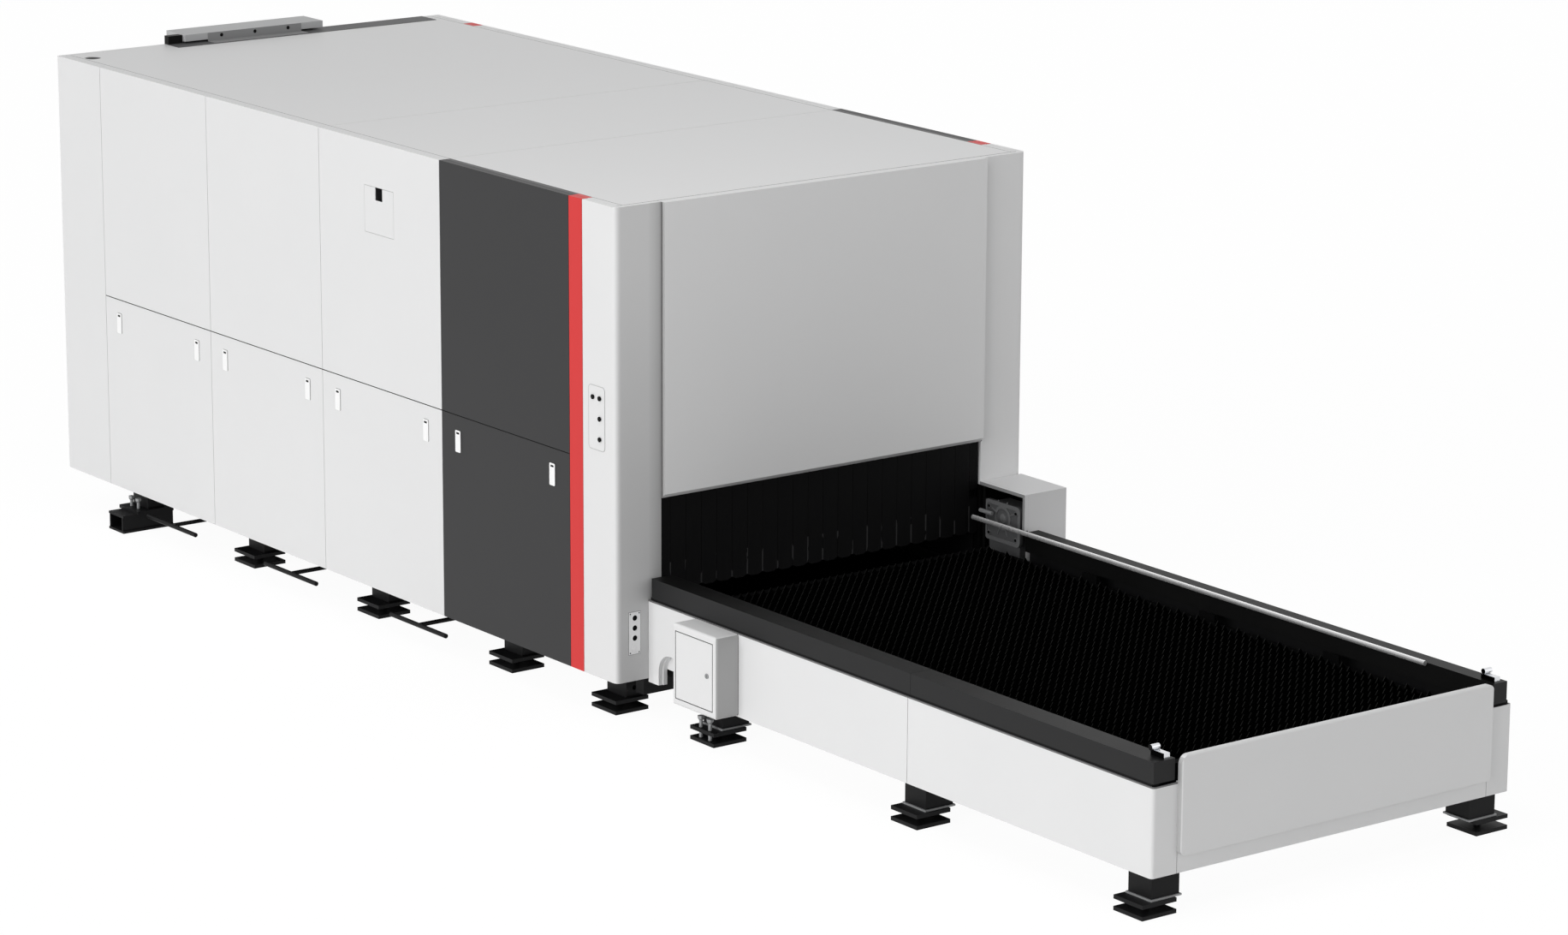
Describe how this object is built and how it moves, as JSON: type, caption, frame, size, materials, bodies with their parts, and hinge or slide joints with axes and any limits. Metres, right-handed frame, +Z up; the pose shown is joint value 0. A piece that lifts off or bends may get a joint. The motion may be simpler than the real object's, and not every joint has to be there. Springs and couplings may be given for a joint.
{
  "type": "fiber laser cutting machine",
  "caption": "Long enclosed laser cutting cabin on levelling feet with a low exchange table in front, where toothed slat pallets swap levels through a strip curtain.",
  "frame": {"origin": "middle of the footprint box at floor level", "axes": "+X along the machine towards the table's free end, +Y to the far side, +Z up"},
  "size_m": [8.472, 2.496, 2.382],
  "materials": {
    "white_paint": "satin",
    "dark_paint": "satin",
    "red_paint": "satin",
    "black_paint": "satin",
    "grey_paint": "satin",
    "steel": "brushed",
    "slat_steel": "matte",
    "bright_steel": "polished",
    "cast_housing": "matte",
    "curtain": "matte",
    "black_plastic": "gloss"
  },
  "bodies": {
    "machine": {"bed_frame": "black_paint", "fork_tube": "black_paint", "levelling_pads": "black_paint", "enclosure_frame": "grey_paint", "x_guides": "steel", "table_frame": "black_paint", "near_skirt_rear": "white_paint", "near_skirt_front": "white_paint", "far_skirts": "white_paint", "end_skirt": "white_paint", "end_cover": "white_paint", "near_rail": "black_paint", "far_rail": "black_paint", "guide_bar": "bright_steel", "rail_stops": "bright_steel", "drive_cover": "white_paint", "gearmotor": "cast_housing", "drive_chain": "steel", "cabinet_box": "white_paint", "roof_panels": "white_paint", "rear_corners": "white_paint", "front_corner_near": "white_paint", "front_corner_far": "white_paint", "accent_strips": "red_paint", "front_cover": "white_paint", "strip_curtain": "curtain", "side_panels": "white_paint", "dark_panels": "dark_paint", "button_plate": "white_paint", "rear_wall": "white_paint", "rear_track": "grey_paint"},
    "pallet_a": {"pallet_a_frame": "black_paint", "pallet_a_slats": "slat_steel"},
    "pallet_a_axle_front": {"pallet_a_wheels_front": "steel"},
    "pallet_a_axle_rear": {"pallet_a_wheels_rear": "steel"},
    "pallet_b": {"pallet_b_frame": "black_paint", "pallet_b_slats": "slat_steel"},
    "pallet_b_axle_front": {"pallet_b_wheels_front": "steel"},
    "pallet_b_axle_rear": {"pallet_b_wheels_rear": "steel"},
    "chain_wheel_drive": {"drive_sprocket": "steel"},
    "chain_wheel_idler": {"idler_sprocket": "steel"},
    "gantry": {"gantry_beam": "grey_paint"},
    "carriage": {"y_carriage": "steel"},
    "head": {"cutting_head": "black_paint"},
    "drawer_1": {"slag_drawer_1": "black_paint"},
    "drawer_2": {"slag_drawer_2": "black_paint"},
    "drawer_3": {"slag_drawer_3": "black_paint"},
    "side_door_1": {"access_door_1": "white_paint"},
    "side_door_2": {"access_door_2": "white_paint"},
    "side_door_3": {"access_door_3": "white_paint"},
    "side_door_4": {"access_door_4": "dark_paint"},
    "hatch": {"inspection_hatch": "white_paint"},
    "cabinet_leaf": {"cabinet_door": "white_paint"},
    "lock": {"cabinet_lock": "bright_steel"},
    "sliding_door": {"rear_door": "white_paint", "door_hanger": "grey_paint"},
    "button_1": {"push_button_1": "black_plastic"},
    "button_2": {"push_button_2": "black_plastic"},
    "button_3": {"push_button_3": "black_plastic"},
    "button_4": {"push_button_4": "black_plastic"}
  },
  "joints": [
    {"name": "pallet_a_travel", "type": "slide", "parent": "machine", "child": "pallet_a", "axis": [-1, 0, 0], "range_m": [0, 3.17]},
    {"name": "pallet_b_travel", "type": "slide", "parent": "machine", "child": "pallet_b", "axis": [1, 0, 0], "range_m": [0, 3.17]},
    {"name": "pallet_a_axle_front_spin", "type": "hinge", "parent": "pallet_a", "child": "pallet_a_axle_front", "pos_m": [3.864, 0, 0.4606], "axis": [0, 1, 0], "continuous": true},
    {"name": "pallet_a_axle_rear_spin", "type": "hinge", "parent": "pallet_a", "child": "pallet_a_axle_rear", "pos_m": [1.014, 0, 0.4606], "axis": [0, 1, 0], "continuous": true},
    {"name": "pallet_b_axle_front_spin", "type": "hinge", "parent": "pallet_b", "child": "pallet_b_axle_front", "pos_m": [0.694, 0, 0.3073], "axis": [0, 1, 0], "continuous": true},
    {"name": "pallet_b_axle_rear_spin", "type": "hinge", "parent": "pallet_b", "child": "pallet_b_axle_rear", "pos_m": [-2.156, 0, 0.3073], "axis": [0, 1, 0], "continuous": true},
    {"name": "chain_wheel_drive_spin", "type": "hinge", "parent": "machine", "child": "chain_wheel_drive", "pos_m": [0.914, 0.91, 0.4303], "axis": [0, 1, 0], "continuous": true},
    {"name": "chain_wheel_idler_spin", "type": "hinge", "parent": "machine", "child": "chain_wheel_idler", "pos_m": [4.101, 0.91, 0.4303], "axis": [0, 1, 0], "continuous": true},
    {"name": "gantry_travel", "type": "slide", "parent": "machine", "child": "gantry", "axis": [1, 0, 0], "range_m": [0, 3]},
    {"name": "carriage_travel", "type": "slide", "parent": "gantry", "child": "carriage", "axis": [0, 1, 0], "range_m": [-0.75, 0.75]},
    {"name": "head_height", "type": "slide", "parent": "carriage", "child": "head", "axis": [0, 0, 1], "range_m": [-0.11, 0]},
    {"name": "drawer_1_pull", "type": "slide", "parent": "machine", "child": "drawer_1", "axis": [0, -1, 0], "range_m": [0, 1.5]},
    {"name": "drawer_2_pull", "type": "slide", "parent": "machine", "child": "drawer_2", "axis": [0, -1, 0], "range_m": [0, 1.5]},
    {"name": "drawer_3_pull", "type": "slide", "parent": "machine", "child": "drawer_3", "axis": [0, -1, 0], "range_m": [0, 1.5]},
    {"name": "side_door_1_lift_off", "type": "slide", "parent": "machine", "child": "side_door_1", "axis": [0, -1, 0], "range_m": [0, 0.2]},
    {"name": "side_door_2_lift_off", "type": "slide", "parent": "machine", "child": "side_door_2", "axis": [0, -1, 0], "range_m": [0, 0.2]},
    {"name": "side_door_3_lift_off", "type": "slide", "parent": "machine", "child": "side_door_3", "axis": [0, -1, 0], "range_m": [0, 0.2]},
    {"name": "side_door_4_lift_off", "type": "slide", "parent": "machine", "child": "side_door_4", "axis": [0, -1, 0], "range_m": [0, 0.2]},
    {"name": "hatch_tilt", "type": "hinge", "parent": "machine", "child": "hatch", "pos_m": [-1.097, -1.1485, 2.0135], "axis": [1, 0, 0], "range_deg": [0, 80]},
    {"name": "cabinet_door_swing", "type": "hinge", "parent": "machine", "child": "cabinet_leaf", "pos_m": [1.1855, -1.098, 0.3635], "axis": [0, 0, -1], "range_deg": [0, 110]},
    {"name": "cabinet_lock_turn", "type": "hinge", "parent": "cabinet_leaf", "child": "lock", "pos_m": [1.4135, -1.1, 0.36498], "axis": [0, 1, 0], "range_deg": [0, 90]},
    {"name": "sliding_door_travel", "type": "slide", "parent": "machine", "child": "sliding_door", "axis": [0, 1, 0], "range_m": [0, 0.6]},
    {"name": "button_1_press", "type": "slide", "parent": "machine", "child": "button_1", "axis": [0, 1, 0], "range_m": [0, 0.003], "stiffness_N_per_m": 300},
    {"name": "button_2_press", "type": "slide", "parent": "machine", "child": "button_2", "axis": [0, 1, 0], "range_m": [0, 0.003], "stiffness_N_per_m": 300},
    {"name": "button_3_press", "type": "slide", "parent": "machine", "child": "button_3", "axis": [0, 1, 0], "range_m": [0, 0.003], "stiffness_N_per_m": 300},
    {"name": "button_4_press", "type": "slide", "parent": "machine", "child": "button_4", "axis": [0, 1, 0], "range_m": [0, 0.003], "stiffness_N_per_m": 300}
  ],
  "couplings": [
    {"joint": "pallet_b_travel", "follows": "pallet_a_travel", "ratio": 1},
    {"joint": "pallet_a_axle_front_spin", "follows": "pallet_a_travel", "rad_per_m": -28.571},
    {"joint": "pallet_a_axle_rear_spin", "follows": "pallet_a_travel", "rad_per_m": -28.571},
    {"joint": "pallet_b_axle_front_spin", "follows": "pallet_a_travel", "rad_per_m": 28.571},
    {"joint": "pallet_b_axle_rear_spin", "follows": "pallet_a_travel", "rad_per_m": 28.571},
    {"joint": "chain_wheel_drive_spin", "follows": "pallet_a_travel", "rad_per_m": -16.667},
    {"joint": "chain_wheel_idler_spin", "follows": "pallet_a_travel", "rad_per_m": -16.667}
  ]
}
